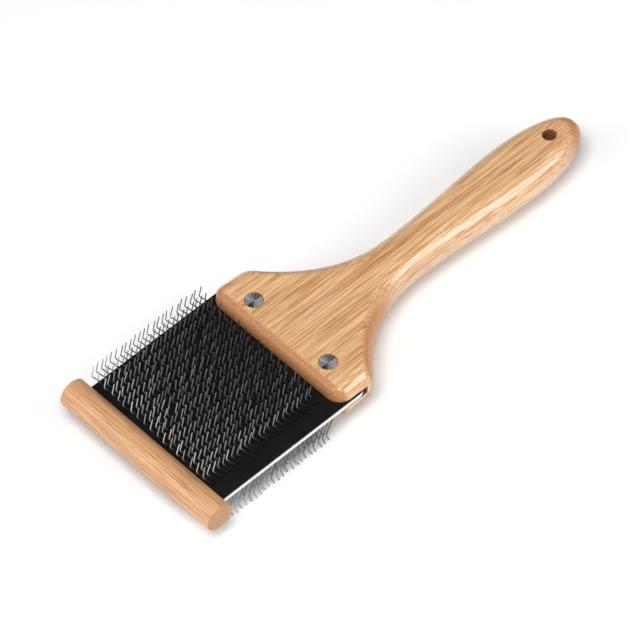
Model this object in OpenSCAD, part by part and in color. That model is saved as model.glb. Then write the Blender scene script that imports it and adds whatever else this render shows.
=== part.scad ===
// Two-sided flexible carding brush.
// A bent-wire card clothing pad is riveted into a slot in a flat wooden handle,
// and a slotted dowel closes the pad's free end. The wires stand on both faces.
// Frame: +X runs from the dowel to the grip end, +Z is up, and the lower wire
// tips stand on Z = 0 at the middle of the outline.

/* [Handle] */
// Distance from the dowel axis to the handle's front edge
handle_front = 73.7; // [70:0.1:80]
// Distance from the dowel axis to the grip end
handle_end = 252.7; // [246:0.1:262]
// Thickness of the handle board
board_t = 17.4; // [16:0.2:22]
// Width of the handle where it holds the pad
head_w = 79.4; // [76:0.1:84]
// Width of the handle at the narrow neck
neck_w = 21.5; // [18:0.5:26]
// Width of the grip at its widest
grip_w = 27.7; // [24:0.1:32]
// Radius of the head's front corners, seen from above
corner_r = 7; // [3:0.5:9]
// Rounding of the head's side edges at the front
head_round = 4; // [2:0.5:6]
// Rounding of the edges along the shoulders and the grip
side_round = 7.8; // [6:0.1:7.8]
// Rounding of the front edge
front_round = 5.2; // [3:0.1:5.5]
// Diameter of the hanging hole
hang_hole_d = 6.2; // [4:0.1:8]
// Distance from the hanging hole's axis to the grip end
hang_hole_inset = 16; // [12:0.5:20]

/* [Pad] */
// Width of the pad
pad_w = 80.2; // [76:0.1:84]
// Thickness of each of the four layers
layer_t = 1.1; // [0.9:0.1:1.3]
// Distance from the dowel axis to the end of the tongue inside the handle
tongue_end = 88.7; // [88:0.1:90]
// Inset of the lower rubber face from the long edges
lower_inset = 0.8; // [0.5:0.1:1.2]

/* [Dowel] */
// Diameter of the dowel
dowel_d = 13.5; // [11:0.5:16]
// Length of the dowel
dowel_len = 91; // [86:1:96]

/* [Rivets] */
// Diameter of a rivet head
rivet_head_d = 8.4; // [7.5:0.1:10]
// Distance from the dowel axis to the rivets
rivet_x = 83.8; // [83:0.1:84.5]
// Distance between the two rivets
rivet_span = 45.2; // [36:0.1:52]

/* [Wire pins] */
// Thickness of the wire
wire_d = 0.5; // [0.4:0.05:0.6]
// Number of rows across the pad
pin_rows = 18; // [10:1:18]
// Number of staples in a row, two pins each
row_staples = 12; // [6:1:12]
// Height of a pin's knee above the rubber
knee_h = 9.2; // [6:0.1:10]
// Height of a pin's tip above the rubber
tip_h = 14; // [11:0.1:16]
// Forward reach of the knee
knee_reach = 5.7; // [3:0.1:6]
// Backward reach of the tip from the knee
tip_reach = 1.8; // [0:0.1:3]
// Sideways lean of the pins in degrees
pin_lean = 6; // [0:1:10]

/* [Hidden] */
$fn = 96;

board_half = board_t / 2;
pad_half_t = 2 * layer_t;
slip = 0.05;                      // play between the pad and the slot's faces
slot_depth = 16.6;                // depth of the handle's slot
tongue_corner_r = 3;
dowel_slot_depth = 5;
pad_front = dowel_d / 2 - dowel_slot_depth;
hole_play = 0.1;                  // play between a rivet and its holes in the pad
rivet_tube_d = 5;
rivet_shank_d = 3;
rivet_head_t = 1.6;
rivet_recess = 0.3;               // depth of a head's face below the wood
rivet_span_z = board_t - 2 * rivet_recess;
rivet_tube_len = rivet_span_z - 2 * rivet_head_t;
rivet_shank_len = rivet_span_z - 3 * rivet_head_t;
pin_pitch_x = 2.66;
pin_pitch_y = 4.15;
first_pin_x = 9;                  // root of the first pin in the first row
first_row_y = -32.5;
row_skew = 2.5;                   // how far the last row sits behind the first
crown_depth = 1.95;               // depth of a staple's crown below the rubber's face
corner_rows = [0, pin_rows - 1];
corner_staples = [0, row_staples - 1];

rest_z = pad_half_t + tip_h * cos(pin_lean) + wire_d / 2 * sin(pin_lean);
overall_len = handle_end + dowel_d / 2;
dowel_x = (dowel_d - overall_len) / 2;

bamboo = [0.87, 0.70, 0.50];
light_wood = [0.89, 0.74, 0.56];
rubber = [0.12, 0.12, 0.12];
fabric = [0.92, 0.92, 0.90];
steel = [0.75, 0.76, 0.78];

// ---- Frame ----------------------------------------------------------------

// Puts the dowel's axis and the pad's mid plane at the part's own frame.
module placed() {
    translate([dowel_x, 0, rest_z]) children();
}

// ---- Handle ---------------------------------------------------------------

// A point on a cubic Bezier curve.
function bezier(p, t) =
    pow(1 - t, 3) * p[0] + 3 * pow(1 - t, 2) * t * p[1]
    + 3 * (1 - t) * t * t * p[2] + t * t * t * p[3];

// Points on a curve between the parameters `from` and `to`, in equal steps.
function curve(p, steps, from, to = 1) =
    [for (i = [0 : steps]) bezier(p, from + (to - from) * i / steps)];

// The handle's plan is a list of [x, half width]. Four curves make it: each runs
// from one named point to the next, and its two inner points set how it leaves
// the first and meets the second.
head_half = head_w / 2;
neck_half = neck_w / 2;
grip_half = grip_w / 2;
cheek_len = 16.3;                 // straight side of the head
shoulder_len = 7.5;               // turn from the straight side to the sweep
shoulder_in = 4.2;                // how far in that turn ends
neck_len = 77;                    // from the front edge to the narrowest point
tip_len = 37;                     // from the widest point of the grip to its end
shoulder_x = handle_front + cheek_len;
sweep_x = shoulder_x + shoulder_len;
sweep_half = head_half - shoulder_in;
neck_x = handle_front + neck_len;
grip_x = handle_end - tip_len;

corner_angle = 15;
front_corner = [
    for (a = [0 : corner_angle : 90])
        [handle_front + corner_r * (1 - cos(a)), head_half - corner_r * (1 - sin(a))]
];
shoulder = [
    [shoulder_x, head_half], [shoulder_x + 4, head_half],
    [sweep_x - 2.5, sweep_half + 2.6], [sweep_x, sweep_half]
];
sweep = [
    [sweep_x, sweep_half], [sweep_x + 17, sweep_half - 19],
    [neck_x - 19.7, neck_half], [neck_x, neck_half]
];
swell = [
    [neck_x, neck_half], [neck_x + 23, neck_half],
    [grip_x - 19, grip_half], [grip_x, grip_half]
];
grip_end = [
    [grip_x, grip_half], [grip_x + 20, grip_half],
    [handle_end, 2 / 3 * grip_half], [handle_end, 0]
];
nearly_closed = 0.985;            // the last section stops here, where it is small
plan = concat(
    front_corner, curve(shoulder, 5, 0), curve(sweep, 12, 1 / 12),
    curve(swell, 8, 1 / 8), curve(grip_end, 13, 1 / 14, nearly_closed)
);

// Height lost by a round of radius r at a distance d inside its edge.
function round_drop(r, d) = d >= r ? 0 : r - sqrt(r * r - (r - d) * (r - d));

// Half the board's thickness at x.
function board_half_at(x) =
    board_half - round_drop(front_round, x - handle_front)
    - round_drop(side_round, handle_end - x);

// Rounding of the long edges at x: it grows from the front to the shoulders.
function edge_round(x) =
    let (grown = (x - handle_front) / (sweep_x - handle_front))
    min(side_round, head_round + (side_round - head_round) * grown);

corner_steps = 5;
fullest = 0.98;                   // a corner's round, as a part of the half width

// One rounded cross-section, counted anticlockwise seen from the grip end.
function section(x, w, h, r) = [
    for (q = [0 : 3], i = [0 : corner_steps])
        let (
            a = 90 * q + 90 * i / corner_steps,
            cy = (q == 0 || q == 3 ? 1 : -1) * (w - r),
            cz = (q < 2 ? 1 : -1) * (h - r)
        )
        [x, cy + r * cos(a), cz + r * sin(a)]
];

// The solid through all the cross-sections.
module handle_body() {
    sections = [
        for (p = plan)
            let (h = board_half_at(p[0]), r = min(edge_round(p[0]), fullest * min(h, p[1])))
            section(p[0], p[1], h, r)
    ];
    n = len(sections[0]);
    last = len(sections) - 1;
    polyhedron(
        points = [for (s = sections) each s],
        faces = concat(
            [[for (j = [0 : n - 1]) j]],
            [
                for (i = [0 : last - 1], j = [0 : n - 1])
                    let (a = i * n + j, b = i * n + (j + 1) % n)
                    each [[a, a + n, b + n], [a, b + n, b]]
            ],
            [[for (j = [n - 1 : -1 : 0]) last * n + j]]
        ),
        convexity = 6
    );
}

// The hole for one rivet, with a seat for a sunk head at each end.
module rivet_hole() {
    cylinder(d = rivet_tube_d, h = 2 * board_t, center = true);
    for (side = [0, 1])
        mirror([0, 0, side])
            translate([0, 0, board_half - rivet_recess - rivet_head_t])
                cylinder(d = rivet_head_d, h = board_t);
}

module at_rivets() {
    for (side = [-1, 1]) translate([rivet_x, side * rivet_span / 2, 0]) children();
}

module handle() {
    slot_h = 2 * (pad_half_t + slip);
    color(bamboo) placed() difference() {
        handle_body();
        translate([handle_front - 1, -head_w, -slot_h / 2])
            cube([slot_depth + 1, 2 * head_w, slot_h]);
        at_rivets() rivet_hole();
        translate([handle_end - hang_hole_inset, 0, 0])
            cylinder(d = hang_hole_d, h = 2 * board_t, center = true);
    }
}

// ---- Pad ------------------------------------------------------------------

// One flat layer of the pad, with rounded corners on the tongue.
module layer(z, inset = 0) {
    half = pad_w / 2 - inset;
    r = tongue_corner_r;
    translate([0, 0, z]) difference() {
        linear_extrude(layer_t) {
            translate([pad_front, -half]) square([tongue_end - r - pad_front, 2 * half]);
            translate([pad_front, r - half]) square([tongue_end - pad_front, 2 * (half - r)]);
            for (side = [-1, 1]) translate([tongue_end - r, side * (half - r)]) circle(r);
        }
        at_rivets() cylinder(d = rivet_tube_d + 2 * hole_play, h = board_t, center = true);
    }
}

module upper_rubber_face() { color(rubber) placed() layer(layer_t); }

module upper_fabric_backing() { color(fabric) placed() layer(0); }

module lower_fabric_backing() { color(fabric) placed() layer(-layer_t); }

module lower_rubber_face() { color(rubber) placed() layer(-2 * layer_t, lower_inset); }

// ---- Dowel ----------------------------------------------------------------

// The dowel's slot stops short of both end faces, so only the pad fills it.
module front_dowel() {
    color(light_wood) placed() difference() {
        rotate([90, 0, 0]) cylinder(d = dowel_d, h = dowel_len, center = true);
        translate([pad_front, -pad_w / 2, -pad_half_t]) cube([dowel_d, pad_w, 2 * pad_half_t]);
    }
}

// ---- Wire staples ---------------------------------------------------------

// One bent pin in its own plane: its foot, the rubber's face, its knee and its tip.
pin_path = [
    [0, -crown_depth], [0, 0], [-knee_reach, knee_h], [tip_reach - knee_reach, tip_h]
];

module pin_outline() {
    half = wire_d / 2;
    polygon(concat(
        [for (p = pin_path) [p[0] + half, p[1]]],
        [for (i = [len(pin_path) - 1 : -1 : 0]) [pin_path[i][0] - half, pin_path[i][1]]]
    ));
}

// A staple is two pins joined by a crown behind the rubber.
module staple() {
    rotate([90, 0, 0]) linear_extrude(wire_d, center = true) {
        for (x = [0, pin_pitch_x]) translate([x, 0]) pin_outline();
        translate([-wire_d / 2, -crown_depth]) square([pin_pitch_x + wire_d, wire_d]);
    }
}

function is_corner(row, s) =
    len(search(row, corner_rows)) > 0 && len(search(s, corner_staples)) > 0;

// All the staples of one face, or only those at its corners.
module staples(corners, rest) {
    color(steel)
        for (row = [0 : pin_rows - 1], s = [0 : row_staples - 1])
            if (is_corner(row, s) ? corners : rest)
                translate([
                    first_pin_x + row_skew * row / (pin_rows - 1) + 2 * pin_pitch_x * s,
                    first_row_y + pin_pitch_y * row,
                    pad_half_t
                ])
                    rotate([-pin_lean, 0, 0]) staple();
}

// The lower cloth is the same cloth turned over about the handle's length.
module turned_over() { rotate([180, 0, 0]) children(); }

module upper_wire_staples() { placed() staples(corners = true, rest = true); }

module lower_wire_staples() { placed() turned_over() staples(corners = false, rest = true); }

module lower_corner_staples() { placed() turned_over() staples(corners = true, rest = false); }

// ---- Rivets ---------------------------------------------------------------

// The upper half of a rivet: a head on a tube that takes the lower half's shank.
module rivet_tube(side) {
    color(steel) placed()
        translate([rivet_x, side * rivet_span / 2, rivet_span_z / 2])
            mirror([0, 0, 1]) difference() {
                union() {
                    cylinder(d = rivet_head_d, h = rivet_head_t);
                    cylinder(d = rivet_tube_d, h = rivet_tube_len);
                }
                translate([0, 0, 2 * rivet_head_t]) cylinder(d = rivet_shank_d, h = board_t);
            }
}

// The lower half of a rivet: a head on a solid shank.
module rivet_shank(side) {
    color(steel) placed() translate([rivet_x, side * rivet_span / 2, -rivet_span_z / 2]) {
        cylinder(d = rivet_head_d, h = rivet_head_t);
        cylinder(d = rivet_shank_d, h = rivet_shank_len);
    }
}

module left_rivet_tube() { rivet_tube(1); }

module right_rivet_tube() { rivet_tube(-1); }

module left_rivet_shank() { rivet_shank(1); }

module right_rivet_shank() { rivet_shank(-1); }

handle();
front_dowel();
upper_rubber_face();
upper_fabric_backing();
lower_fabric_backing();
lower_rubber_face();
upper_wire_staples();
lower_wire_staples();
lower_corner_staples();
left_rivet_tube();
right_rivet_tube();
left_rivet_shank();
right_rivet_shank();
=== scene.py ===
"""Looks of a two-sided flexible carding brush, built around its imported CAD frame.

A bamboo handle holds a pad of card clothing in a slot, two rivets pin the pad,
and a dowel closes its free end. Lengths in the classes are in millimetres, in
the frame's own axes: +X towards the grip end, +Z up, the table at Z = 0.
Meshes are written in metres, and every object sits at the origin.
"""

from __future__ import annotations

import logging
import math
from dataclasses import dataclass
from enum import Enum
from typing import Any, Sequence

import bpy
import numpy as np
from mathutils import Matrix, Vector
from numpy.typing import NDArray

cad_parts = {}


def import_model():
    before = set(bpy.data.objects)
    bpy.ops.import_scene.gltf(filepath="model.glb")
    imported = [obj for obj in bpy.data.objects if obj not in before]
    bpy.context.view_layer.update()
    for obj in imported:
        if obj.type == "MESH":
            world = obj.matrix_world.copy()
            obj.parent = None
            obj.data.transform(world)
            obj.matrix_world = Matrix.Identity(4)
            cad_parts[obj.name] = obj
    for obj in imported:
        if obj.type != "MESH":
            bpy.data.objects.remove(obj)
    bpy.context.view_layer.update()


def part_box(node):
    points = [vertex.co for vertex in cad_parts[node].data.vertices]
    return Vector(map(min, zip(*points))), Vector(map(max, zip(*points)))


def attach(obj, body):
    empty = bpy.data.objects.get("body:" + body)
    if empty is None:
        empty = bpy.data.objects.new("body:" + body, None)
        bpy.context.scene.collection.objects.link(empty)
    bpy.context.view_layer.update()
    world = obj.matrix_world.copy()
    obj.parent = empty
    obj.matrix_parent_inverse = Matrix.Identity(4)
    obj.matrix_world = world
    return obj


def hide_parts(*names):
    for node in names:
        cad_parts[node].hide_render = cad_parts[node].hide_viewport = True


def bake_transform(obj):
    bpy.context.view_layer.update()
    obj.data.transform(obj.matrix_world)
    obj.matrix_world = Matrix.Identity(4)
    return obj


LOG = logging.getLogger("carding_brush")
MM = 0.001
HANDLE_BODY = "handle_body"
PAD_BODY = "pad_body"
# How far a round cutter reaches past the heights that it is given, in millimetres.
PAST = 1.0
# Radius that a turned profile keeps from its axis, where a flat cap closes the piece.
POLE = 0.05

Points = NDArray[np.float64]


class Side(Enum):
    """A face of the pad, or of the handle, and the sign of its Z."""

    UPPER = 1
    LOWER = -1


class Hand(Enum):
    """A side of the handle, and the sign of its Y."""

    LEFT = 1
    RIGHT = -1


# ---------------------------------------------------------------- mesh helpers


def box_mm(node: str) -> tuple[Points, Points]:
    """Reads a CAD node's lowest and highest corners in millimetres."""
    low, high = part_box(node)
    return np.array(low) / MM, np.array(high) / MM


def new_object(name: str, points: Points, faces: list[Sequence[int]]) -> bpy.types.Object:
    """Makes a smooth-shaded mesh object at the origin.

    Args:
        name: The object's name.
        points: Vertices in millimetres, one row each.
        faces: Vertex numbers of each face, anticlockwise seen from outside.

    Returns:
        The new object, linked to the scene.
    """
    mesh = bpy.data.meshes.new(name)
    mesh.from_pydata((points * MM).tolist(), [], faces)
    mesh.polygons.foreach_set("use_smooth", np.ones(len(mesh.polygons), bool))
    obj = bpy.data.objects.new(name, mesh)
    bpy.context.scene.collection.objects.link(obj)
    return obj


def grid_faces(rows: int, columns: int, first: int = 0) -> NDArray[np.int64]:
    """Numbers the quads of a tube of rings.

    Ring i's point j is vertex first + i * columns + j, and each ring closes on
    itself. Seen along the way the rings advance, the points run anticlockwise.

    Args:
        rows: Number of rings.
        columns: Points in a ring.
        first: Number of the first vertex.

    Returns:
        One row of four vertex numbers for each quad.
    """
    i, j = np.meshgrid(np.arange(rows - 1), np.arange(columns), indexing="ij")
    k = (j + 1) % columns
    here, on = i * columns, (i + 1) * columns
    quad = np.stack([here + j, here + k, on + k, on + j], -1)
    return quad.reshape(-1, 4) + first


def tube_object(name: str, rings: Points) -> bpy.types.Object:
    """Makes a closed tube from rings of points, with a flat cap on each end.

    Args:
        name: The object's name.
        rings: Array of rings by points by 3, in millimetres.

    Returns:
        The new object.
    """
    rows, columns = rings.shape[:2]
    faces: list[Sequence[int]] = grid_faces(rows, columns).tolist()
    faces.append(list(range(columns))[::-1])
    faces.append(list(range((rows - 1) * columns, rows * columns)))
    return new_object(name, rings.reshape(-1, 3), faces)


def rounded_sections(
    x: Points, width: Points, height: Points, radius: Points, centre_z: float, steps: int = 12
) -> Points:
    """Works out rounded-rectangle rings across X.

    A ring's point is the centre of a corner's arc plus the radius turned by the
    angle, and each flat is cut in parts so that shading stays even across it.

    Args:
        x: Station of each ring.
        width: Half width of each ring along Y.
        height: Half height of each ring along Z.
        radius: Radius of each ring's corners.
        centre_z: Height of the rings' middle.
        steps: Parts in a corner's arc.

    Returns:
        Array of rings by points by 3.
    """
    quarter = np.linspace(0, math.pi / 2, steps + 1)
    parts = np.array([0.01, 0.25, 0.5, 0.75, 0.99])
    ys, zs = [], []
    for corner, (sy, sz) in enumerate(((1, 1), (-1, 1), (-1, -1), (1, -1))):
        angle = quarter + corner * math.pi / 2
        arc_y = sy * (width - radius)[:, None] + radius[:, None] * np.cos(angle)
        arc_z = sz * (height - radius)[:, None] + radius[:, None] * np.sin(angle)
        ny, nz = ((-1, 1), (-1, -1), (1, -1), (1, 1))[corner]
        next_angle = angle[-1]
        next_y = ny * (width - radius) + radius * math.cos(next_angle)
        next_z = nz * (height - radius) + radius * math.sin(next_angle)
        flat_y = arc_y[:, -1:] + (next_y[:, None] - arc_y[:, -1:]) * parts
        flat_z = arc_z[:, -1:] + (next_z[:, None] - arc_z[:, -1:]) * parts
        ys += [arc_y, flat_y]
        zs += [arc_z, flat_z]
    y = np.concatenate(ys, 1)
    z = np.concatenate(zs, 1) + centre_z
    return np.stack([np.broadcast_to(x[:, None], y.shape), y, z], -1)


def revolved(profile: Points, steps: int) -> Points:
    """Turns a closed profile about the Z axis.

    A point at radius r and height z goes to (r cos t, r sin t, z) for each of
    the angles t round the axis.

    Args:
        profile: Rows of radius and height, radius above 0.
        steps: Parts of a full turn.

    Returns:
        Array of profile points by angles by 3.
    """
    turn = np.arange(steps) * 2 * math.pi / steps
    ring = np.stack([np.cos(turn), np.sin(turn)], -1)
    flat = profile[:, None, :1] * ring[None]
    height = np.broadcast_to(profile[:, None, 1:], flat.shape[:2] + (1,))
    return np.concatenate([flat, height], -1)


def bezier(control: Sequence[Sequence[float]], steps: int, end: float = 1.0) -> Points:
    """Samples a cubic Bezier curve: the four points weighted by Bernstein's polynomials."""
    t = np.linspace(0, end, steps + 1)[:, None]
    left = 1 - t
    p = np.array(control, float)
    return left**3 * p[0] + 3 * left**2 * t * p[1] + 3 * left * t**2 * p[2] + t**3 * p[3]


def carve(obj: bpy.types.Object, cutters: Sequence[bpy.types.Object], sharp: float = 40.0) -> None:
    """Cuts solids out of a piece and keeps its flats evenly shaded.

    Args:
        obj: The piece to cut.
        cutters: Closed solids, which are used up.
        sharp: Angle in degrees above which an edge is creased.
    """
    for cutter in cutters:
        cut = obj.modifiers.new("cut", "BOOLEAN")
        cut.operation = "DIFFERENCE"
        cut.solver = "EXACT"
        cut.object = cutter
    bake_modifiers(obj)
    for cutter in cutters:
        bpy.data.objects.remove(cutter)
    mesh = obj.data
    mesh.polygons.foreach_set("use_smooth", np.ones(len(mesh.polygons), bool))
    mesh.set_sharp_from_angle(angle=math.radians(sharp))
    even = obj.modifiers.new("even", "WEIGHTED_NORMAL")
    even.keep_sharp = True
    bake_modifiers(obj)


def bake_modifiers(obj: bpy.types.Object) -> None:
    """Applies a piece's modifiers, so that its mesh is final."""
    graph = bpy.context.evaluated_depsgraph_get()
    mesh = bpy.data.meshes.new_from_object(obj.evaluated_get(graph))
    obj.modifiers.clear()
    old, obj.data = obj.data, mesh
    bpy.data.meshes.remove(old)
    mesh.name = obj.name


def cylinder_cutter(
    x: float, y: float, low: float, high: float, radius: float, flare: float = 0.0
) -> bpy.types.Object:
    """Makes an upright round cutter.

    Args:
        x: Axis position along X.
        y: Axis position along Y.
        low: Height of its lower end.
        high: Height of its upper end.
        radius: Its radius.
        flare: Radius of the round that it leaves on the rim of its hole at each end.

    Returns:
        The cutter.
    """
    profile = [[radius, low - PAST], [radius, high + PAST]]
    if flare:
        angle = np.linspace(0, math.pi / 2, 7)
        across = radius + flare * (1 - np.cos(angle))
        upper = np.stack([across, high - flare + flare * np.sin(angle)], -1)
        lower = np.stack([upper[:, 0], low + high - upper[:, 1]], -1)[::-1]
        ends = np.array([[radius + flare + 0.5, low - 0.5], [radius + flare + 0.5, high + 0.5]])
        profile = np.concatenate([ends[:1], lower, upper, ends[1:]])
    rings = revolved(np.array(profile, float), 64) + np.array([x, y, 0.0])
    return tube_object("cutter", rings)


def block_cutter(low: Sequence[float], high: Sequence[float]) -> bpy.types.Object:
    """Makes a block cutter from its lowest and highest corners."""
    (x0, y0, z0), (x1, y1, z1) = low, high
    ring = np.array([[y1, z1], [y0, z1], [y0, z0], [y1, z0]])
    rings = np.stack([np.column_stack([np.full(4, x), ring]) for x in (x0, x1)])
    return tube_object("cutter", rings)


# -------------------------------------------------------------------- finishes


def linear(colour: str) -> tuple[float, float, float, float]:
    """Turns an sRGB hex colour, such as "#C08A52", into linear RGBA."""
    part = np.array([int(colour[i : i + 2], 16) for i in (1, 3, 5)]) / 255
    value = np.where(part <= 0.04045, part / 12.92, ((part + 0.055) / 1.055) ** 2.4)
    return (*value.tolist(), 1.0)


def add_node(
    tree: bpy.types.NodeTree,
    kind: str,
    values: dict[str | int, Any] | None = None,
    links: dict[str | int, bpy.types.NodeSocket] | None = None,
    stops: Sequence[tuple[float, str]] = (),
    **settings: Any,
) -> bpy.types.Node:
    """Adds one shader node with its settings, values and links.

    Args:
        tree: The material's node tree.
        kind: The node's type, without "ShaderNode".
        values: Input socket to its value.
        links: Input socket to the output that feeds it.
        stops: Positions and hex colours, for a colour ramp.
        settings: The node's own properties.

    Returns:
        The new node.
    """
    node = tree.nodes.new("ShaderNode" + kind)
    for name, value in settings.items():
        setattr(node, name, value)
    for key, value in (values or {}).items():
        node.inputs[key].default_value = value
    for key, source in (links or {}).items():
        tree.links.new(source, node.inputs[key])
    for number, (position, colour) in enumerate(stops):
        ramp = node.color_ramp.elements
        stop = ramp[number] if number < len(ramp) else ramp.new(position)
        stop.position = position
        stop.color = linear(colour)
    return node


@dataclass(frozen=True)
class Finish:
    """What every finish has: a name and how shiny its surface is."""

    name: str = "finish"
    roughness: float = 0.5
    metallic: float = 0.0
    ior: float = 1.5

    def begin(self) -> tuple[bpy.types.Material, bpy.types.NodeTree, bpy.types.Node]:
        """Starts a material with a Principled shader and its plain values."""
        material = bpy.data.materials.new(self.name)
        material.use_nodes = True
        tree = material.node_tree
        shader = tree.nodes["Principled BSDF"]
        shader.inputs["Roughness"].default_value = self.roughness
        shader.inputs["Metallic"].default_value = self.metallic
        shader.inputs["IOR"].default_value = self.ior
        return material, tree, shader

    def millimetres(self, tree: bpy.types.NodeTree, size: Sequence[float]) -> bpy.types.NodeSocket:
        """Gives Object coordinates counted in a pattern's own size along each axis."""
        place = add_node(tree, "TexCoord").outputs["Object"]
        scale = [1 / (MM * part) for part in size]
        return add_node(tree, "Mapping", {"Scale": scale}, {"Vector": place}).outputs["Vector"]


@dataclass(frozen=True)
class SplitWood(Finish):
    """Lacquered wood whose fibres run along one axis.

    Fine streaks follow the fibres, a few broad bands change its tone, and faces
    cut across the fibres are darker, speckled with their ends and have soaked up
    most of the lacquer.
    """

    name: str = "lacquered_bamboo"
    roughness: float = 0.45
    pale: str = "#F2CFA3"
    middle: str = "#E0B27D"
    streak: str = "#BE864F"
    end_grain: str = "#BB7F4D"
    grain_axis: int = 0
    streak_width: float = 0.55
    streak_length: float = 38.0
    band_width: float = 5.0
    coat: float = 1.0
    soaked: float = 0.2
    raggedness: float = 0.35
    speckle_size: float = 0.8
    coat_roughness: float = 0.21
    coat_ior: float = 1.8

    def sized(self, across: float, along: float) -> list[float]:
        """A pattern's size along each axis, long along the fibres."""
        return [along if axis == self.grain_axis else across for axis in range(3)]

    def build(self) -> bpy.types.Material:
        """Builds the material."""
        material, tree, shader = self.begin()
        fine = add_node(
            tree,
            "TexNoise",
            {"Scale": 1.0, "Detail": 3.0, "Roughness": 0.62, "Distortion": 0.15},
            {"Vector": self.millimetres(tree, self.sized(self.streak_width, self.streak_length))},
        )
        band = add_node(
            tree,
            "TexNoise",
            {"Scale": 1.0, "Detail": 2.0, "Roughness": 0.5},
            {"Vector": self.millimetres(tree, self.sized(self.band_width, 4 * self.streak_length))},
        )
        fibre = add_node(
            tree,
            "TexNoise",
            {"Scale": 1.0, "Detail": 2.0, "Roughness": 0.6},
            {
                "Vector": self.millimetres(
                    tree, self.sized(self.streak_width / 3, self.streak_length / 3)
                )
            },
        )
        streaks = add_node(
            tree,
            "ValToRGB",
            links={"Fac": fine.outputs["Fac"]},
            stops=((0.40, self.streak), (0.50, self.middle), (0.60, self.pale)),
        )
        tone = add_node(
            tree,
            "ValToRGB",
            links={"Fac": band.outputs["Fac"]},
            stops=((0.32, "#D8BFA6"), (0.60, "#FFFFFF")),
        )
        toned = add_node(
            tree,
            "Mix",
            {"Factor": 0.4},
            {6: streaks.outputs["Color"], 7: tone.outputs["Color"]},
            data_type="RGBA",
            blend_type="MULTIPLY",
        )
        thin = add_node(
            tree,
            "ValToRGB",
            links={"Fac": fibre.outputs["Fac"]},
            stops=((0.36, "#C09B78"), (0.50, "#FFFFFF")),
        )
        along = add_node(
            tree,
            "Mix",
            {"Factor": 0.6},
            {6: toned.outputs[2], 7: thin.outputs["Color"]},
            data_type="RGBA",
            blend_type="MULTIPLY",
        )
        speckle = add_node(
            tree,
            "TexNoise",
            {"Scale": 1.0, "Detail": 3.0, "Roughness": 0.7},
            {"Vector": self.millimetres(tree, [self.speckle_size] * 3)},
        )
        across = add_node(
            tree,
            "ValToRGB",
            links={"Fac": speckle.outputs["Fac"]},
            stops=((0.32, "#A57046"), (0.55, self.end_grain), (0.72, "#D29F72")),
        )
        place = add_node(tree, "TexCoord")
        facing = add_node(tree, "SeparateXYZ", links={0: place.outputs["Normal"]})
        squared = add_node(
            tree,
            "Math",
            links={0: facing.outputs[self.grain_axis], 1: facing.outputs[self.grain_axis]},
            operation="MULTIPLY",
        )
        jagged = add_node(
            tree,
            "Math",
            {1: self.raggedness},
            {0: fine.outputs["Fac"], 2: squared.outputs[0]},
            operation="MULTIPLY_ADD",
        )
        cut = add_node(
            tree,
            "MapRange",
            {"From Min": 0.02 + self.raggedness / 2, "From Max": 0.16 + self.raggedness / 2},
            {"Value": jagged.outputs[0]},
        )
        colour = add_node(
            tree,
            "Mix",
            links={"Factor": cut.outputs[0], 6: along.outputs[2], 7: across.outputs["Color"]},
            data_type="RGBA",
        )
        tree.links.new(colour.outputs[2], shader.inputs["Base Color"])
        relief = add_node(
            tree,
            "Bump",
            {"Strength": 0.18, "Distance": 0.05 * MM},
            {"Height": fibre.outputs["Fac"]},
        )
        tree.links.new(relief.outputs["Normal"], shader.inputs["Normal"])
        shader.inputs["Coat Weight"].default_value = self.coat
        if self.coat:
            film = add_node(
                tree,
                "MapRange",
                {"To Min": self.coat, "To Max": self.coat * self.soaked},
                {"Value": cut.outputs[0]},
            )
            tree.links.new(film.outputs[0], shader.inputs["Coat Weight"])
        shader.inputs["Coat Roughness"].default_value = self.coat_roughness
        shader.inputs["Coat IOR"].default_value = self.coat_ior
        return material


@dataclass(frozen=True)
class MattRubber(Finish):
    """Black vulcanised rubber: dull, with faint grey dust and a fine grain."""

    name: str = "matt_black_rubber"
    roughness: float = 0.6
    colour: str = "#080808"
    dust: str = "#141414"
    grain: float = 0.5
    cloud_size: float = 7.0
    specular: float = 0.18

    def build(self) -> bpy.types.Material:
        """Builds the material."""
        material, tree, shader = self.begin()
        cloud = add_node(
            tree,
            "TexNoise",
            {"Scale": 1.0, "Detail": 5.0, "Roughness": 0.65},
            {"Vector": self.millimetres(tree, [self.cloud_size] * 3)},
        )
        colour = add_node(
            tree,
            "ValToRGB",
            links={"Fac": cloud.outputs["Fac"]},
            stops=((0.38, self.colour), (0.78, self.dust)),
        )
        grain = add_node(
            tree,
            "TexNoise",
            {"Scale": 1.0, "Detail": 2.0},
            {"Vector": self.millimetres(tree, [self.grain] * 3)},
        )
        relief = add_node(
            tree,
            "Bump",
            {"Strength": 0.35, "Distance": 0.06 * MM},
            {"Height": grain.outputs["Fac"]},
        )
        tree.links.new(colour.outputs["Color"], shader.inputs["Base Color"])
        tree.links.new(relief.outputs["Normal"], shader.inputs["Normal"])
        shader.inputs["Specular IOR Level"].default_value = self.specular
        return material


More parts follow.
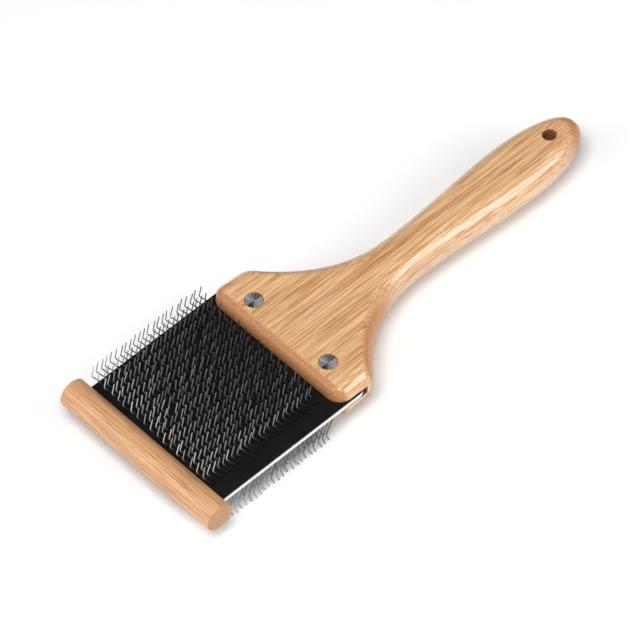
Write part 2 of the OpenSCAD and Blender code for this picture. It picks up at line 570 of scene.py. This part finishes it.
@dataclass(frozen=True)
class WovenBacking(Finish):
    """White cotton cloth in rubber cement: a plain weave that shows on its edges."""

    name: str = "white_woven_backing"
    roughness: float = 0.85
    colour: str = "#F2F2F0"
    gap: str = "#C9C9C6"
    thread: float = 0.7
    sheen: float = 0.2

    def build(self) -> bpy.types.Material:
        """Builds the material."""
        material, tree, shader = self.begin()
        weave = add_node(
            tree,
            "TexWave",
            {"Scale": 0.5, "Distortion": 1.2, "Detail": 2.0, "Detail Scale": 1.5},
            {"Vector": self.millimetres(tree, [self.thread] * 3)},
            wave_type="BANDS",
            bands_direction="DIAGONAL",
        )
        colour = add_node(
            tree,
            "ValToRGB",
            links={"Fac": weave.outputs["Fac"]},
            stops=((0.05, self.gap), (0.4, self.colour)),
        )
        relief = add_node(
            tree, "Bump", {"Strength": 0.3, "Distance": 0.08 * MM}, {"Height": weave.outputs["Fac"]}
        )
        tree.links.new(colour.outputs["Color"], shader.inputs["Base Color"])
        tree.links.new(relief.outputs["Normal"], shader.inputs["Normal"])
        shader.inputs["Sheen Weight"].default_value = self.sheen
        return material


@dataclass(frozen=True)
class DrawnWire(Finish):
    """Drawn steel wire, with painted shade where it stands in the upper cloth and painted light
    above its knee.

    The painted light and shade follow the height over the pad's middle plane: the pins under the
    pad are painted light, and the upper pins' legs below the knee painted shade. Every pin also has
    its own brightness in a mesh attribute: a random tone times a painted falloff of light towards
    the handle.
    """

    name: str = "drawn_steel_wire"
    roughness: float = 0.35
    metallic: float = 0.65
    middle: float = 16.15
    lowest: float = -14.0
    knee: float = 11.6

    def build(self) -> bpy.types.Material:
        """Builds the material."""
        material, tree, shader = self.begin()
        place = add_node(tree, "SeparateXYZ", links={0: self.millimetres(tree, [1.0] * 3)})
        height = add_node(
            tree,
            "MapRange",
            {"From Min": self.middle + self.lowest, "From Max": self.middle + self.knee},
            {"Value": place.outputs["Z"]},
        )
        # Painted light and painted shade by height: light on the pins under the pad, shade on the
        # upper pins below the knee, light above it.
        tone = add_node(
            tree,
            "ValToRGB",
            links={"Fac": height.outputs[0]},
            stops=(
                (0.0, "#DCDCDC"),
                (0.5, "#B4B5B6"),
                (0.63, "#444445"),
                (0.9, "#5A5B5C"),
                (1.0, "#E4E4E3"),
            ),
        )
        # Each pin's random tone times a painted falloff of light towards the handle.
        tone_and_painted_falloff = add_node(tree, "Attribute", attribute_name="tone_and_painted_falloff")
        colour = add_node(
            tree,
            "Mix",
            {"Factor": 1.0},
            {6: tone.outputs["Color"], 7: tone_and_painted_falloff.outputs["Fac"]},
            data_type="RGBA",
            blend_type="MULTIPLY",
        )
        tree.links.new(colour.outputs[2], shader.inputs["Base Color"])
        return material


@dataclass(frozen=True)
class TurnedSteel(Finish):
    """Steel faced on a lathe: fine rings, so highlights spread out from the middle, and a painted
    bow-tie highlight: two opposite sectors of the face painted bright, two dark.
    """

    name: str = "turned_steel"
    roughness: float = 0.32
    metallic: float = 0.75
    bright: str = "#E6E6E6"
    dull: str = "#2F3033"
    ring_pitch: float = 0.22
    painted_highlight_turn: float = 0.16
    painted_highlight_depth: float = 0.15
    marks_round: float = 26.0
    marks_out: float = 0.12
    anisotropy: float = 0.9
    brushed_way: float = 0.25

    def build(self) -> bpy.types.Material:
        """Builds the material from a UV map whose U goes round and V outwards in millimetres."""
        material, tree, shader = self.begin()
        around = add_node(tree, "UVMap", uv_map="turning")
        part = add_node(tree, "SeparateXYZ", links={0: around.outputs["UV"]})
        radius = add_node(
            tree,
            "Math",
            {1: 2 * math.pi / self.ring_pitch},
            {0: part.outputs["Y"]},
            operation="MULTIPLY",
        )
        ring = add_node(tree, "Math", links={0: radius.outputs[0]}, operation="SINE")
        fan = add_node(
            tree,
            "Mapping",
            {"Scale": (self.marks_round, self.marks_out, 1)},
            {"Vector": around.outputs["UV"]},
        )
        marks = add_node(
            tree, "TexNoise", {"Scale": 1.0, "Detail": 1.0}, {"Vector": fan.outputs["Vector"]}
        )
        # Painted highlight: a bow-tie of bright and dark sectors fixed round the face, added to the
        # lathe marks.
        turned = add_node(
            tree,
            "Math",
            {1: 4 * math.pi, 2: 4 * math.pi * self.painted_highlight_turn},
            {0: part.outputs["X"]},
            operation="MULTIPLY_ADD",
        )
        painted_bow_highlight = add_node(tree, "Math", links={0: turned.outputs[0]}, operation="COSINE")
        both = add_node(
            tree,
            "Math",
            {1: self.painted_highlight_depth},
            {0: painted_bow_highlight.outputs[0], 2: marks.outputs["Fac"]},
            operation="MULTIPLY_ADD",
        )
        colour = add_node(
            tree,
            "ValToRGB",
            links={"Fac": both.outputs[0]},
            stops=((0.25, self.dull), (0.75, self.bright)),
        )
        relief = add_node(
            tree, "Bump", {"Strength": 0.08, "Distance": 0.02 * MM}, {"Height": ring.outputs[0]}
        )
        along = add_node(tree, "Tangent", direction_type="UV_MAP", uv_map="turning")
        tree.links.new(colour.outputs["Color"], shader.inputs["Base Color"])
        tree.links.new(relief.outputs["Normal"], shader.inputs["Normal"])
        tree.links.new(along.outputs["Tangent"], shader.inputs["Tangent"])
        shader.inputs["Anisotropic"].default_value = self.anisotropy
        shader.inputs["Anisotropic Rotation"].default_value = self.brushed_way
        return material


@dataclass(frozen=True)
class StudioPaper(Finish):
    """White background paper with the faintest mottle."""

    name: str = "studio_paper"
    roughness: float = 0.95
    colour: str = "#F8F8F8"
    mottle: str = "#F7F7F7"
    mottle_size: float = 40.0

    def build(self) -> bpy.types.Material:
        """Builds the material."""
        material, tree, shader = self.begin()
        cloud = add_node(
            tree,
            "TexNoise",
            {"Scale": 1.0},
            {"Vector": self.millimetres(tree, [self.mottle_size] * 3)},
        )
        colour = add_node(
            tree,
            "ValToRGB",
            links={"Fac": cloud.outputs["Fac"]},
            stops=((0.4, self.mottle), (0.6, self.colour)),
        )
        tree.links.new(colour.outputs["Color"], shader.inputs["Base Color"])
        shader.inputs["Specular IOR Level"].default_value = 0.0
        return material


def dress(obj: bpy.types.Object, finish: bpy.types.Material) -> None:
    """Gives a piece its material."""
    obj.data.materials.clear()
    obj.data.materials.append(finish)


def settle(obj: bpy.types.Object, body: str, *nodes: str) -> None:
    """Rides a piece on a body in place of the CAD nodes that it stands for."""
    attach(obj, body)
    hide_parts(*nodes)
    LOG.info("%s rides on %s and stands for %s", obj.name, body, ", ".join(nodes))


# --------------------------------------------------------------- sub-assemblies


@dataclass
class Handle:
    """The bamboo board: head, shoulders, neck and grip, with slot and holes."""

    corner_radius: float = 7.0
    front_round: float = 5.2
    head_round: float = 4.0
    side_round: float = 7.8
    shoulder: float = 16.3
    sweep: float = 23.8
    neck: float = 77.0
    grip: float = 37.0
    neck_half: float = 10.75
    grip_half: float = 13.85
    slot_depth: float = 16.6
    slot_height: float = 4.5
    hang_inset: float = 16.0
    hang_radius: float = 3.1
    rivet_x_from_front: float = 10.1
    rivet_y: float = 22.6
    rivet_radius: float = 4.2
    rivet_seat: float = 1.9
    rivet_bore: float = 2.5

    def __post_init__(self) -> None:
        """Reads the board's outer box from the frame."""
        self.low, self.high = box_mm("handle")
        self.front = self.low[0]
        self.end = self.high[0]
        self.head_half = self.high[1]
        self.half = (self.high[2] - self.low[2]) / 2
        self.middle = (self.high[2] + self.low[2]) / 2

    def plan(self) -> Points:
        """Works out the plan as rows of X and half width.

        A quarter circle rounds the front corner, and four Bezier curves draw the
        shoulder, the sweep to the neck, the swelling grip and its round end. The
        numbers inside each curve are the reach of its handles in millimetres.

        Returns:
            One row for each station, from the head's front to the grip's end.
        """
        f, e, w = self.front, self.end, self.head_half
        quarter = np.radians(np.arange(0, 91, 3.75))
        corner = np.stack(
            [
                f + self.corner_radius * (1 - np.cos(quarter)),
                w - self.corner_radius * (1 - np.sin(quarter)),
            ],
            -1,
        )
        s, p, n, g = f + self.shoulder, f + self.sweep, f + self.neck, e - self.grip
        straight = np.stack([np.linspace(corner[-1, 0], s, 8)[1:-1], np.full(6, w)], -1)
        shoulder = bezier([(s, w), (s + 4, w), (p - 2.5, w - 1.6), (p, w - 4.2)], 14)
        sweep = bezier(
            [(p, w - 4.2), (p + 17, w - 23.2), (n - 19.7, self.neck_half), (n, self.neck_half)], 44
        )
        thin, full = self.neck_half, self.grip_half
        swell = bezier([(n, thin), (n + 23, thin), (g - 19, full), (g, full)], 30)
        tip = bezier([(g, full), (g + 20, full), (e, 2 / 3 * full), (e, 0)], 46, 0.992)
        return np.concatenate([corner, straight, shoulder, sweep[1:], swell[1:], tip[1:]])

    def drop(self, radius: float, inside: Points) -> Points:
        """Height lost by a round of a radius at a distance inside its edge."""
        left = np.clip(radius - inside, 0, None)
        return radius - np.sqrt(np.clip(radius**2 - left**2, 0, None))

    def build(self) -> bpy.types.Object:
        """Lofts the board and cuts its slot, rivet seats and hanging hole."""
        x, width = self.plan().T
        height = self.half - self.drop(self.front_round, x - self.front)
        height = height - self.drop(self.side_round, self.end - x)
        grown = (x - self.front) / self.sweep
        softened = self.head_round + (self.side_round - self.head_round) * grown
        radius = np.minimum(self.side_round, softened)
        radius = np.minimum(radius, 0.98 * np.minimum(height, width))
        outline = rounded_sections(x, width, height, radius, self.middle)
        board = tube_object("bamboo_handle", outline)
        carve(board, self.cutters())
        return board

    def shade_cut_walls(self, board: bpy.types.Object, raw: bpy.types.Material) -> None:
        """Gives the walls of the hanging hole and of the slot the finish of wood without lacquer,
        darkened with painted shade.

        Args:
            board: The carved board.
            raw: The finish of wood without lacquer, darkened with painted shade.
        """
        mesh = board.data
        mesh.materials.append(raw)
        centres = np.zeros(len(mesh.polygons) * 3, np.float32)
        mesh.polygons.foreach_get("center", centres)
        x, y, z = (centres.reshape(-1, 3) / MM).T
        in_hole = np.hypot(x - self.end + self.hang_inset, y) < self.hang_radius
        in_slot = (np.abs(z - self.middle) < self.slot_height / 2 + 0.01) & (
            x < self.front + self.slot_depth + 0.01
        )
        # Faces inside the hole and the slot take the darker finish: painted shade.
        mesh.polygons.foreach_set("material_index", (in_hole | in_slot).astype(np.int32))
        mesh.update()

    def cutters(self) -> list[bpy.types.Object]:
        """Makes the solids of everything cut out of the board."""
        low, high = self.low[2], self.high[2]
        depth = self.front + self.slot_depth
        wider = 50.0
        slot = block_cutter(
            (self.front - PAST, -wider, self.middle - self.slot_height / 2),
            (depth, wider, self.middle + self.slot_height / 2),
        )
        hang_x = self.end - self.hang_inset
        solids = [slot, cylinder_cutter(hang_x, 0, low, high, self.hang_radius, 0.5)]
        for hand in Hand:
            x, y = self.front + self.rivet_x_from_front, hand.value * self.rivet_y
            solids.append(cylinder_cutter(x, y, low, high, self.rivet_bore))
            seat = high - self.rivet_seat + PAST
            solids.append(cylinder_cutter(x, y, seat, high, self.rivet_radius))
            seat = low + self.rivet_seat - PAST
            solids.append(cylinder_cutter(x, y, low, seat, self.rivet_radius))
        return solids


@dataclass
class Rivet:
    """One compression rivet: an upper head on a tube, and a lower head on a shank."""

    hand: Hand
    chamfer: float = 0.4
    tube_radius: float = 2.5
    shank_radius: float = 1.5
    head_thickness: float = 1.6
    dish: float = 0.06
    steps: int = 64
    sharp: float = 28.0

    def axis_point(self, node: str) -> tuple[Points, Points, Points]:
        """Reads a rivet half's axis and its lowest and highest corners."""
        low, high = box_mm(node)
        return (low + high) / 2, low, high

    def turned(self, name: str, profile: Points, centre: Points) -> bpy.types.Object:
        """Turns a closed profile into a solid with a UV map for its lathe marks.

        Args:
            name: The piece's name.
            profile: Rows of radius and height, from the axis round to the axis.
            centre: The axis, as X and Y.

        Returns:
            The piece.
        """
        rings = revolved(profile, self.steps)
        obj = tube_object(name, rings + np.array([centre[0], centre[1], 0.0]))
        mesh = obj.data
        corner = np.zeros(len(mesh.loops), np.int32)
        mesh.loops.foreach_get("vertex_index", corner)
        place = np.zeros(len(mesh.vertices) * 3, np.float32)
        mesh.vertices.foreach_get("co", place)
        local = place.reshape(-1, 3)[corner] / MM - np.array([centre[0], centre[1], 0.0])
        angle = np.arctan2(local[:, 1], local[:, 0]) / (2 * math.pi)
        first = angle[mesh_loop_starts(mesh)]
        angle = angle + np.round(first - angle)
        uv = np.stack([angle, np.hypot(local[:, 0], local[:, 1])], -1).astype(np.float32)
        mesh.uv_layers.new(name="turning").data.foreach_set("uv", uv.ravel())
        mesh.set_sharp_from_angle(angle=math.radians(self.sharp))
        return obj

    def head(self, outer: float, inner: float, radius: float) -> list[list[float]]:
        """The head's profile, from its middle to its inner face.

        Args:
            outer: Height of the visible face.
            inner: Height of the face against the wood.
            radius: Radius of the head.

        Returns:
            Rows of radius and height.
        """
        way = 1.0 if outer > inner else -1.0
        return [
            [POLE, outer - way * self.dish],
            [0.8, outer - way * self.dish],
            [radius * 0.5, outer - way * 0.5 * self.dish],
            [radius - self.chamfer, outer],
            [radius, outer - way * self.chamfer],
            [radius, inner],
        ]

    def build(self) -> list[bpy.types.Object]:
        """Builds both halves and rides them on the handle.

        Returns:
            The upper half and the lower half.
        """
        side = self.hand.name.lower()
        centre, low, high = self.axis_point(f"{side}_rivet_tube")
        radius = (high[0] - low[0]) / 2
        top = self.head(high[2], high[2] - self.head_thickness, radius)
        bore_top = high[2] - 2 * self.head_thickness
        tube = top + [
            [self.tube_radius, high[2] - self.head_thickness],
            [self.tube_radius, low[2]],
            [self.shank_radius, low[2]],
            [self.shank_radius, bore_top],
            [POLE, bore_top],
        ]
        upper = self.turned(f"{side}_rivet_upper_half", np.array(tube)[::-1], centre)
        centre, low, high = self.axis_point(f"{side}_rivet_shank")
        bottom = self.head(low[2], low[2] + self.head_thickness, radius)
        shank = bottom + [
            [self.shank_radius, low[2] + self.head_thickness],
            [self.shank_radius, high[2] - self.chamfer],
            [self.shank_radius - self.chamfer, high[2]],
            [POLE, high[2]],
        ]
        lower = self.turned(f"{side}_rivet_lower_half", np.array(shank), centre)
        settle(upper, HANDLE_BODY, f"{side}_rivet_tube")
        settle(lower, HANDLE_BODY, f"{side}_rivet_shank")
        return [upper, lower]


def mesh_loop_starts(mesh: bpy.types.Mesh) -> NDArray[np.int64]:
    """Gives, for each face corner, the number of its face's first corner."""
    start = np.zeros(len(mesh.polygons), np.int32)
    total = np.zeros(len(mesh.polygons), np.int32)
    mesh.polygons.foreach_get("loop_start", start)
    mesh.polygons.foreach_get("loop_total", total)
    return np.repeat(start, total)


@dataclass
class Dowel:
    """The round bar on the pad's free end, with a blind slot for the pad."""

    edge_round: float = 0.7
    face_rings: tuple[float, ...] = (POLE, 2.0, 4.0, 5.6)
    steps: int = 96

    def build(self) -> bpy.types.Object:
        """Turns the bar about its own axis and cuts the slot.

        Half of the profile is the end face and the quarter circle of its edge, and
        the other half is the same turned over. Turned about Z, it is laid along Y.

        Returns:
            The bar.
        """
        low, high = box_mm("front_dowel")
        centre, radius = (low + high) / 2, (high[0] - low[0]) / 2
        angle = np.linspace(0, math.pi / 2, 7)
        edge_r = radius - self.edge_round * (1 - np.sin(angle))
        edge_y = high[1] - self.edge_round * (1 - np.cos(angle))
        face = np.array([[r, high[1]] for r in self.face_rings])
        half = np.concatenate([face, np.stack([edge_r, edge_y], -1)])
        profile = np.concatenate([half, (half * np.array([1, -1]))[::-1]])
        turned = revolved(profile, self.steps)
        rings = np.stack(
            [turned[..., 0] + centre[0], turned[..., 2], turned[..., 1] + centre[2]], -1
        )
        bar = tube_object("front_dowel_bar", rings)
        pad_low, pad_high = box_mm("upper_rubber_face")
        under, _ = box_mm("lower_rubber_face")
        slot = block_cutter(
            (pad_low[0], pad_low[1], under[2]), (high[0] + PAST, pad_high[1], pad_high[2])
        )
        carve(bar, [slot])
        settle(bar, PAD_BODY, "front_dowel")
        return bar


@dataclass
class Layer:
    """One flat sheet of the pad, from the dowel's slot to its round-cornered tongue."""

    node: str
    name: str
    edge: float = 0.15
    tongue_round: float = 3.0
    hole_radius: float = 2.6
    stations: int = 90

    def build(self, rivets: Sequence[Points]) -> bpy.types.Object:
        """Sweeps the sheet's edge section along X and punches its rivet holes.

        Args:
            rivets: X and Y of each rivet's axis.

        Returns:
            The sheet.
        """
        low, high = box_mm(self.node)
        start, end, half = low[0], high[0], high[1]
        quarter = np.radians(np.arange(0, 91, 9))
        body = np.linspace(start, end - self.tongue_round, self.stations)
        tongue = end - self.tongue_round * (1 - np.sin(quarter[1:]))
        x = np.concatenate([[start, start + 0.02], body[1:], tongue])
        width = np.full(len(x), half)
        width[-len(quarter) + 1 :] = half - self.tongue_round * (1 - np.cos(quarter[1:]))
        thick = np.full(len(x), (high[2] - low[2]) / 2)
        edge = np.full(len(x), self.edge)
        rings = rounded_sections(x, width, thick, edge, (high[2] + low[2]) / 2, 3)
        sheet = tube_object(self.name, rings)
        holes = [cylinder_cutter(r[0], r[1], low[2], high[2], self.hole_radius) for r in rivets]
        carve(sheet, holes)
        return sheet


@dataclass
class CardClothing:
    """The bent wire pins of one face of the pad, in rows, two to a staple."""

    side: Side
    wire: float = 0.5
    rows: int = 18
    pins_in_row: int = 24
    pitch_x: float = 2.66
    pitch_y: float = 4.15
    first_x: float = 9.0
    first_y: float = -32.5
    row_skew: float = 2.5
    knee_height: float = 9.2
    tip_height: float = 14.0
    knee_reach: float = 5.7
    tip_reach: float = 1.8
    lean: float = 6.0
    depth: float = 0.6
    knee_radius: float = 0.7
    ring_points: int = 6
    # Share of brightness that the painted light loses towards the handle.
    painted_light_falloff: float = 0.75
    dullest: float = 0.4
    staple_play: float = 0.12
    pin_play: float = 0.08
    knee_play: float = 0.16
    tip_play: float = 0.22
    wear: float = 0.15
    lean_play: float = 1.0
    turn_play: float = 3.0
    strays: float = 0.015
    stray_reach: float = 1.3
    stray_turn: float = 0.3
    stray_drop: float = 0.7
    stray_drop_play: float = 0.4
    sharp: float = 70.0
    seed: int = 11

    def roots(self) -> tuple[Points, Points]:
        """Works out where every pin leaves the rubber.

        Returns:
            X and Y of every pin's root, from the dowel's axis.
        """
        row, pin = np.meshgrid(np.arange(self.rows), np.arange(self.pins_in_row), indexing="ij")
        x = self.first_x + self.row_skew * row / (self.rows - 1) + self.pitch_x * pin
        y = self.first_y + self.pitch_y * row
        return x.ravel(), y.ravel()

    def path(self, knee: Points, tip: Points) -> Points:
        """Works out each pin's centre line in its own plane.

        The line runs straight to the knee, round it on a quadratic curve, and
        straight on to the tip.

        Args:
            knee: Reach and height of each pin's knee.
            tip: Reach and height of each pin's tip.

        Returns:
            Array of pins by points by 2.
        """
        foot = np.array([0.0, -self.depth])
        root = np.zeros(2)
        below = knee + (root - knee) * (self.knee_radius / np.linalg.norm(knee, axis=1))[:, None]
        reach = np.linalg.norm(tip - knee, axis=1)
        above = knee + (tip - knee) * (self.knee_radius / reach)[:, None]
        t = np.array([0.0, 0.5, 1.0])[None, :, None]
        start, end = (1 - t) ** 2 * below[:, None], t**2 * above[:, None]
        bend = start + 2 * (1 - t) * t * knee[:, None] + end
        ends = np.broadcast_to(np.stack([foot, root]), (len(knee), 2, 2))
        return np.concatenate([ends, bend, tip[:, None]], 1)

    def build(self, axis_x: float, middle_z: float, face: float) -> bpy.types.Object:
        """Makes every pin of this face as one mesh of closed tubes.

        Args:
            axis_x: X of the dowel's axis.
            middle_z: Height of the pad's middle plane.
            face: Distance from that plane to the rubber's face.

        Returns:
            The pins.
        """
        rng = np.random.default_rng(self.seed + self.side.value)
        x, y = self.roots()
        count = len(x)
        pairs = np.repeat(rng.normal(0, self.staple_play, count // 2), 2)
        x = x + pairs + rng.normal(0, self.pin_play, count)
        knee = np.array([-self.knee_reach, self.knee_height])
        knee = knee + rng.normal(0, self.knee_play, (count, 2))
        shorten = -np.abs(rng.normal(0, self.wear, count))
        tip = np.array([self.tip_reach - self.knee_reach, self.tip_height]) + np.stack(
            [rng.normal(0, self.tip_play, count), shorten], -1
        )
        bent = rng.random(count) < self.strays
        astray = rng.normal(0, self.stray_reach, bent.sum())
        drop = -np.abs(rng.normal(self.stray_drop, self.stray_drop_play, bent.sum()))
        tip[bent] += np.stack([astray, drop], -1)
        line = self.path(knee, tip)
        yaw = rng.normal(0, math.radians(self.turn_play), count)
        yaw = yaw + np.where(bent, rng.normal(0, self.stray_turn, count), 0)
        lean = math.radians(self.lean) + rng.normal(0, math.radians(self.lean_play), count)
        u, h = line[..., 0], line[..., 1]
        across = u * np.sin(yaw)[:, None]
        centre = np.stack(
            [
                u * np.cos(yaw)[:, None],
                across * np.cos(lean)[:, None] + h * np.sin(lean)[:, None],
                h * np.cos(lean)[:, None] - across * np.sin(lean)[:, None],
            ],
            -1,
        )
        tubes = self.sweep(centre) + np.stack([x, y, np.full(count, face)], -1)[:, None, None]
        top = face + self.tip_height * math.cos(math.radians(self.lean))
        tubes[..., 2] = np.minimum(tubes[..., 2], top)
        if self.side is Side.LOWER:
            tubes = tubes * np.array([1, -1, -1])
        tubes = tubes + np.array([axis_x, 0, middle_z])
        name = f"{self.side.name.lower()}_wire_pins"
        return self.mesh(name, tubes)

    def sweep(self, centre: Points) -> Points:
        """Puts a ring of points round every point of each centre line.

        The ring lies square to the line, spanned by the line's side way (square
        to it and to Y as near as can be) and the cross product of the two.

        Args:
            centre: Array of pins by points by 3.

        Returns:
            Array of pins by points by ring points by 3.
        """
        way = np.gradient(centre, axis=1)
        way = way / np.linalg.norm(way, axis=-1, keepdims=True)
        side = np.cross(np.array([0.0, 1.0, 0.0]), way)
        side = side / np.linalg.norm(side, axis=-1, keepdims=True)
        third = np.cross(way, side)
        turn = np.arange(self.ring_points) * 2 * math.pi / self.ring_points
        ring = np.cos(turn)[:, None] * side[:, :, None] + np.sin(turn)[:, None] * third[:, :, None]
        return centre[:, :, None] + ring * self.wire / 2

    def mesh(self, name: str, tubes: Points) -> bpy.types.Object:
        """Joins the tubes of all pins in one mesh, each closed at both ends.

        Args:
            name: The piece's name.
            tubes: Array of pins by points by ring points by 3.

        Returns:
            The pins, with each pin's brightness in a mesh attribute: a random tone times a painted
            falloff of light along X.
        """
        count, rows, columns = tubes.shape[:3]
        each = rows * columns
        first = (np.arange(count) * each)[:, None, None]
        walls = (grid_faces(rows, columns)[None] + first).reshape(-1, 4)
        ring = np.arange(columns)
        caps = np.stack([ring[::-1], ring + each - columns])[None] + first
        faces = walls.tolist() + caps.reshape(-1, columns).tolist()
        pins = new_object(name, tubes.reshape(-1, 3), faces)
        pins.data.set_sharp_from_angle(angle=math.radians(self.sharp))
        # Painted light: pins are darker the nearer they stand to the handle, times a random tone
        # for each pin.
        far = np.clip((tubes[:, 0, 0, 0] - tubes[..., 0].min()) / np.ptp(tubes[..., 0]), 0, 1)
        rng = np.random.default_rng(self.seed)
        tone_and_painted_falloff = rng.uniform(self.dullest, 1.0, count) * (1 - self.painted_light_falloff * far)
        values = np.repeat(tone_and_painted_falloff, each).astype(np.float32)
        pins.data.attributes.new("tone_and_painted_falloff", "FLOAT", "POINT").data.foreach_set("value", values)
        return pins


@dataclass
class Pad:
    """The flexible pad: four bonded sheets and the pins on both of its faces."""

    axis_x: float
    middle_z: float
    rivets: Sequence[Points]

    def bend(self, obj: bpy.types.Object, *nodes: str) -> None:
        """Bakes a piece's place into its mesh and hides the CAD nodes that it stands for, naming
        them in the log.

        Args:
            obj: The piece, which rides on no body of its own.
            nodes: The CAD nodes that it stands for.
        """
        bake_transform(obj)
        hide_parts(*nodes)
        LOG.info("%s bends with the pad and stands for %s", obj.name, ", ".join(nodes))

    def build(
        self,
        rubber: bpy.types.Material,
        cloth: bpy.types.Material,
        wire: bpy.types.Material,
    ) -> None:
        """Builds and dresses the sheets and the pins.

        Args:
            rubber: The finish of the two outer sheets.
            cloth: The finish of the two inner sheets.
            wire: The finish of the pins.
        """
        sheets = (
            ("upper_rubber_face", "upper_rubber_sheet", rubber, "black_rubber"),
            ("upper_fabric_backing", "upper_woven_sheet", cloth, "white_fabric"),
            ("lower_fabric_backing", "lower_woven_sheet", cloth, "white_fabric"),
            ("lower_rubber_face", "lower_rubber_sheet", rubber, "black_rubber"),
        )
        for node, name, finish, slot in sheets:
            sheet = Layer(node, name).build(self.rivets)
            dress(sheet, finish)
            self.bend(sheet, node)
        face = box_mm("upper_rubber_face")[1][2] - self.middle_z
        stands_for = {
            Side.UPPER: ("upper_wire_staples",),
            Side.LOWER: ("lower_wire_staples", "lower_corner_staples"),
        }
        for side, nodes in stands_for.items():
            pins = CardClothing(side).build(self.axis_x, self.middle_z, face)
            dress(pins, wire)
            self.bend(pins, *nodes)


# ----------------------------------------------------------------------- studio


@dataclass
class Studio:
    """A white paper floor, soft lights and the camera."""

    focal: float = 450.0
    sensor: float = 36.0
    distance: float = 3376.0
    azimuth: float = -43.76
    elevation: float = 52.67
    aim: tuple[float, float, float] = (-21.8, 0.5, 16.15)
    floor_reach: float = 6000.0
    fill: float = 0.2

    def floor(self, paper: bpy.types.Material) -> None:
        """Lays a wide sheet of paper under the object."""
        corners = np.array([[-1, -1, 0], [1, -1, 0], [1, 1, 0], [-1, 1, 0]])
        corners = corners * self.floor_reach
        sheet = new_object("studio_floor", corners, [(0, 1, 2, 3)])
        sheet.data.materials.append(paper)

    def camera(self) -> None:
        """Places the camera on a line from the aim point, turned by azimuth and elevation."""
        turn, rise = math.radians(self.azimuth), math.radians(self.elevation)
        level = math.cos(rise)
        back = Vector((math.sin(turn) * level, -math.cos(turn) * level, math.sin(rise)))
        data = bpy.data.cameras.new("camera")
        data.lens = self.focal
        data.sensor_width = self.sensor
        data.clip_end = 100.0
        camera = bpy.data.objects.new("camera", data)
        camera.location = (Vector(self.aim) + back * self.distance) * MM
        camera.rotation_euler = (-back).to_track_quat("-Z", "Y").to_euler()
        bpy.context.scene.collection.objects.link(camera)
        bpy.context.scene.camera = camera

    def softbox(self, name: str, place: Sequence[float], size: float, power: float) -> None:
        """Hangs a square soft light that faces the object.

        Args:
            name: The light's name.
            place: Its position in millimetres.
            size: Length of its side in millimetres.
            power: Its power in watts.
        """
        data = bpy.data.lights.new(name, "AREA")
        data.energy = power
        data.size = size * MM
        light = bpy.data.objects.new(name, data)
        light.location = Vector(place) * MM
        light.rotation_euler = (-Vector(place)).to_track_quat("-Z", "Y").to_euler()
        bpy.context.scene.collection.objects.link(light)

    def world(self, strength: float) -> None:
        """Fills the studio with even white light."""
        world = bpy.data.worlds.new("studio")
        world.use_nodes = True
        world.node_tree.nodes["Background"].inputs["Color"].default_value = (1, 1, 1, 1)
        world.node_tree.nodes["Background"].inputs["Strength"].default_value = strength
        bpy.context.scene.world = world

    def build(self, paper: bpy.types.Material) -> None:
        """Sets up the whole studio."""
        self.floor(paper)
        self.camera()
        self.world(self.fill)
        self.softbox("key_light", (480, -900, 640), size=760, power=7.2)
        self.softbox("pin_light", (-1150, 250, 640), size=1000, power=7.5)
        self.softbox("top_light", (-550, -300, 1330), size=600, power=15)
        bpy.context.scene.view_settings.view_transform = "Standard"


def main() -> None:
    """Builds the brush around the frame, piece by piece."""
    logging.basicConfig(level=logging.INFO, format="%(name)s: %(message)s")
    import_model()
    Studio().build(StudioPaper().build())

    bamboo = SplitWood().build()
    bar_wood = SplitWood(
        name="waxed_hardwood",
        grain_axis=1,
        pale="#DCB085",
        middle="#D0A275",
        streak="#BD8A5E",
        end_grain="#B98860",
        streak_width=0.8,
        streak_length=35.0,
        coat=0.1,
    ).build()
    # Unlacquered bamboo, far darker as painted shade, for the walls inside the hanging hole and the
    # slot.
    bare_wood_painted_shade = SplitWood(
        name="bare_bamboo_painted_shade",
        pale="#A97850",
        middle="#94633E",
        streak="#7A4A2B",
        end_grain="#84512F",
        coat=0.0,
    ).build()
    rubber = MattRubber().build()
    cloth = WovenBacking().build()
    wire = DrawnWire().build()
    steel = TurnedSteel().build()

    handle = Handle()
    board = handle.build()
    dress(board, bamboo)
    handle.shade_cut_walls(board, bare_wood_painted_shade)
    settle(board, HANDLE_BODY, "handle")

    centres = []
    for hand in Hand:
        for half in Rivet(hand).build():
            dress(half, steel)
        low, high = box_mm(f"{hand.name.lower()}_rivet_tube")
        centres.append((low + high) / 2)

    bar = Dowel().build()
    dress(bar, bar_wood)

    low, high = box_mm("front_dowel")
    Pad((low[0] + high[0]) / 2, (low[2] + high[2]) / 2, centres).build(rubber, cloth, wire)


if __name__ == "__main__":
    main()
